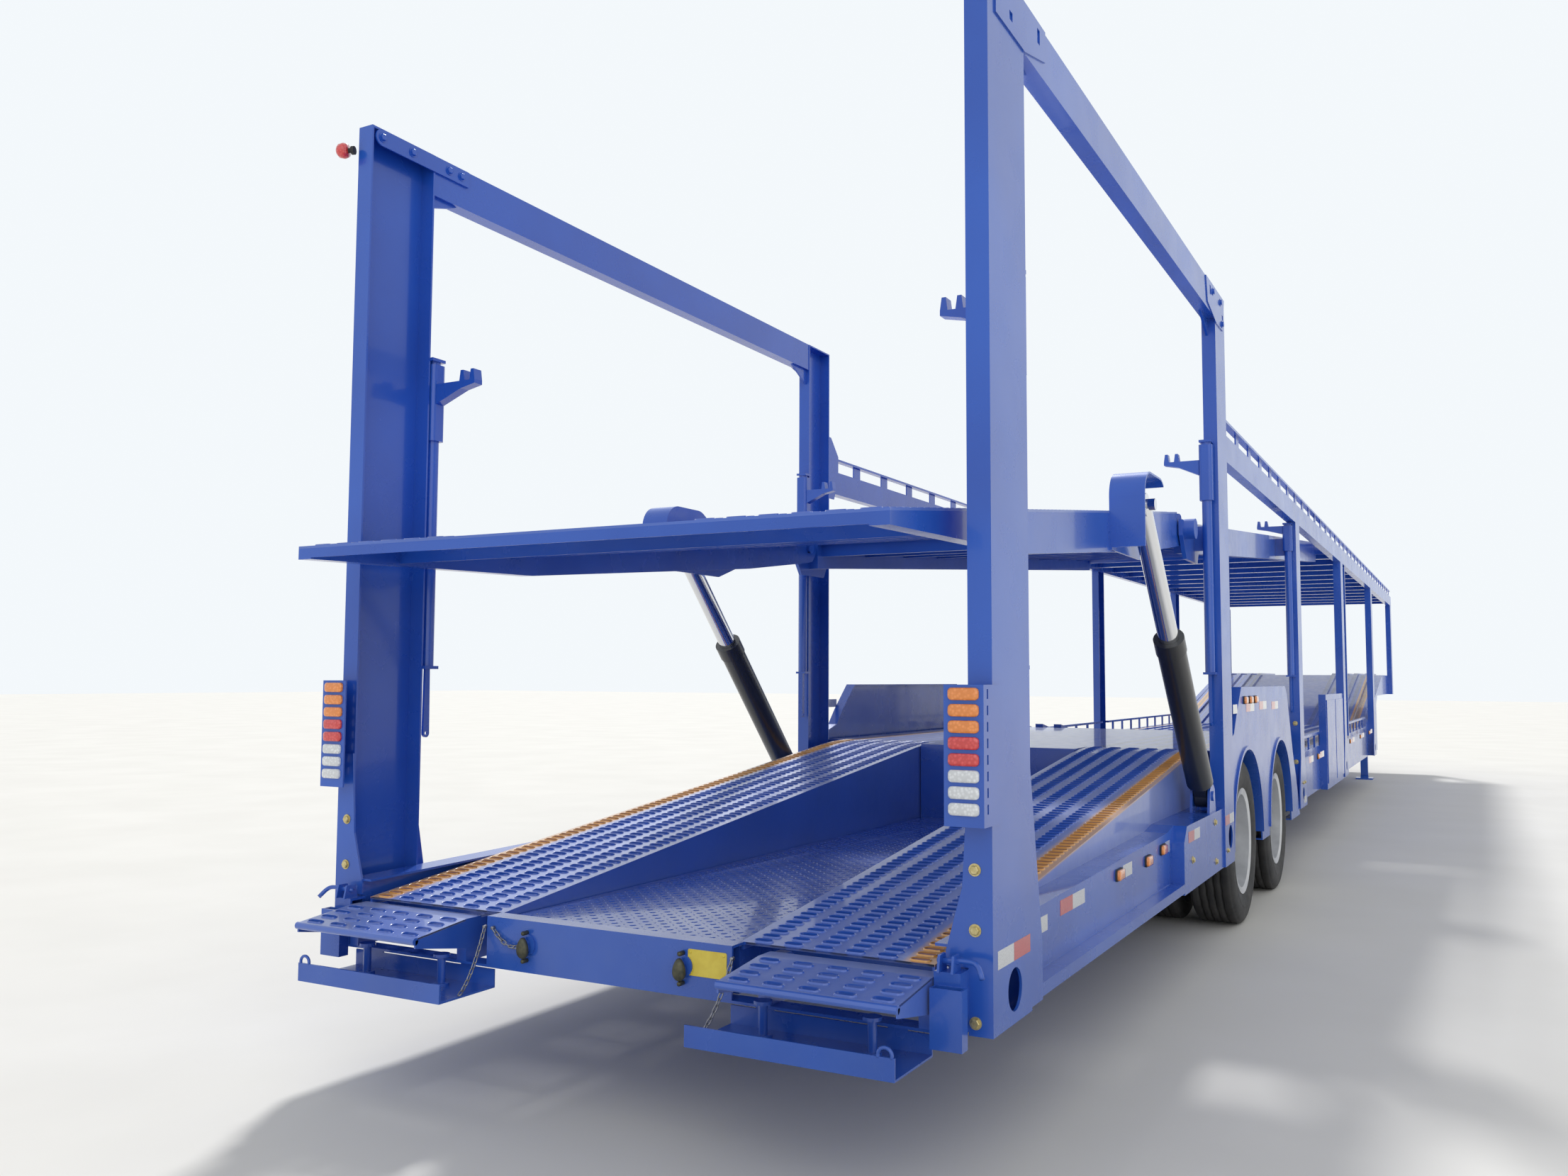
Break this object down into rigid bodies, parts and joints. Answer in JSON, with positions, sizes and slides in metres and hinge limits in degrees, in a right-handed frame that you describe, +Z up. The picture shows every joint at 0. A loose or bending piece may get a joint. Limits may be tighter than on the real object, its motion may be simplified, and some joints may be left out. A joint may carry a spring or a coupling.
{
  "type": "car transporter semi-trailer",
  "caption": "Double-deck car transporter semi-trailer with gooseneck, open post-and-rail frame, tilting rear platform on hydraulic cylinders and twin wheels.",
  "frame": {"origin": "centre of the bounding box on the ground, under the middle of the trailer", "axes": "+X forward to the kingpin, +Y to the trailer's left, +Z up"},
  "size_m": [19.195, 2.512, 3.46],
  "materials": {
    "blue_paint": "gloss ultramarine enamel on steel",
    "black_paint": "semi-gloss black enamel on steel",
    "bare_steel": "machined and greased steel",
    "rim_steel": "silver enamel on pressed steel",
    "chrome": "hard chrome, polished",
    "tyre": "black rubber with ribs",
    "lamp_lens": "moulded lamp lenses in amber, red and white"
  },
  "bodies": {
    "chassis": {"chassis_beam_left": "blue_paint", "chassis_beam_right": "blue_paint", "ramp_left": "blue_paint", "ramp_right": "blue_paint", "wheelhouse_left": "blue_paint", "wheelhouse_right": "blue_paint", "rear_post_left": "blue_paint", "rear_post_right": "blue_paint", "second_post_left": "blue_paint", "second_post_right": "blue_paint", "forward_posts_left": "blue_paint", "forward_posts_right": "blue_paint", "top_beam_left": "blue_paint", "top_beam_right": "blue_paint", "side_rail_left": "blue_paint", "side_rail_right": "blue_paint", "guard_rails": "blue_paint", "tail_lamp_panels": "blue_paint", "loading_steps": "blue_paint", "step_channels": "blue_paint", "cylinder_feet": "blue_paint", "lock_sleeves": "blue_paint", "rear_cross_beam": "blue_paint", "cross_members": "blue_paint", "inner_beams": "blue_paint", "centre_floor": "blue_paint", "axle_deck": "blue_paint", "front_lower_deck": "blue_paint", "landing_legs": "blue_paint", "upper_mid_deck": "blue_paint", "upper_front_deck": "blue_paint", "upper_front_members": "blue_paint", "control_cabinet": "blue_paint", "ladder": "blue_paint", "kingpin_plate": "bare_steel", "tail_lamps": "lamp_lens", "axle_rear": "black_paint", "axle_front": "black_paint", "suspension": "black_paint"},
    "platform": {"platform_frame": "blue_paint", "platform_deck": "blue_paint"},
    "barrel_left": {"cylinder_barrel_left": "black_paint"},
    "rod_left": {"cylinder_rod_left": "chrome"},
    "twin_wheel_rear_left": {"wheel_rear_left": "rim_steel", "tyres_rear_left": "tyre"},
    "twin_wheel_front_left": {"wheel_front_left": "rim_steel", "tyres_front_left": "tyre"},
    "barrel_right": {"cylinder_barrel_right": "black_paint"},
    "rod_right": {"cylinder_rod_right": "chrome"},
    "twin_wheel_rear_right": {"wheel_rear_right": "rim_steel", "tyres_rear_right": "tyre"},
    "twin_wheel_front_right": {"wheel_front_right": "rim_steel", "tyres_front_right": "tyre"}
  },
  "joints": [
    {"name": "platform_tilt", "type": "hinge", "parent": "chassis", "child": "platform", "pos_m": [-5.9525, 0, 2.15], "axis": [0, 1, 0], "range_deg": [-18, 8]},
    {"name": "barrel_swing_left", "type": "hinge", "parent": "chassis", "child": "barrel_left", "pos_m": [-5.9075, 1.18, 0.8], "axis": [0, 1, 0], "range_deg": [-8.5, 4]},
    {"name": "rod_slide_left", "type": "slide", "parent": "barrel_left", "child": "rod_left", "axis": [-0.6919, 0, 0.722], "range_m": [-0.3, 0.135]},
    {"name": "roll_rear_left", "type": "hinge", "parent": "chassis", "child": "twin_wheel_rear_left", "pos_m": [-4.8725, 0.935, 0.465], "axis": [0, 1, 0], "continuous": true},
    {"name": "roll_front_left", "type": "hinge", "parent": "chassis", "child": "twin_wheel_front_left", "pos_m": [-3.5125, 0.935, 0.465], "axis": [0, 1, 0], "continuous": true},
    {"name": "barrel_swing_right", "type": "hinge", "parent": "chassis", "child": "barrel_right", "pos_m": [-5.9075, -1.18, 0.8], "axis": [0, 1, 0], "range_deg": [-8.5, 4]},
    {"name": "rod_slide_right", "type": "slide", "parent": "barrel_right", "child": "rod_right", "axis": [-0.6919, 0, 0.722], "range_m": [-0.3, 0.135]},
    {"name": "roll_rear_right", "type": "hinge", "parent": "chassis", "child": "twin_wheel_rear_right", "pos_m": [-4.8725, -0.935, 0.465], "axis": [0, 1, 0], "continuous": true},
    {"name": "roll_front_right", "type": "hinge", "parent": "chassis", "child": "twin_wheel_front_right", "pos_m": [-3.5125, -0.935, 0.465], "axis": [0, 1, 0], "continuous": true}
  ],
  "couplings": [
    {"joint": "barrel_swing_left", "follows": "platform_tilt", "ratio": 0.4425},
    {"joint": "rod_slide_left", "follows": "platform_tilt", "m_per_rad": 0.94},
    {"joint": "barrel_swing_right", "follows": "platform_tilt", "ratio": 0.4425},
    {"joint": "rod_slide_right", "follows": "platform_tilt", "m_per_rad": 0.94}
  ]
}
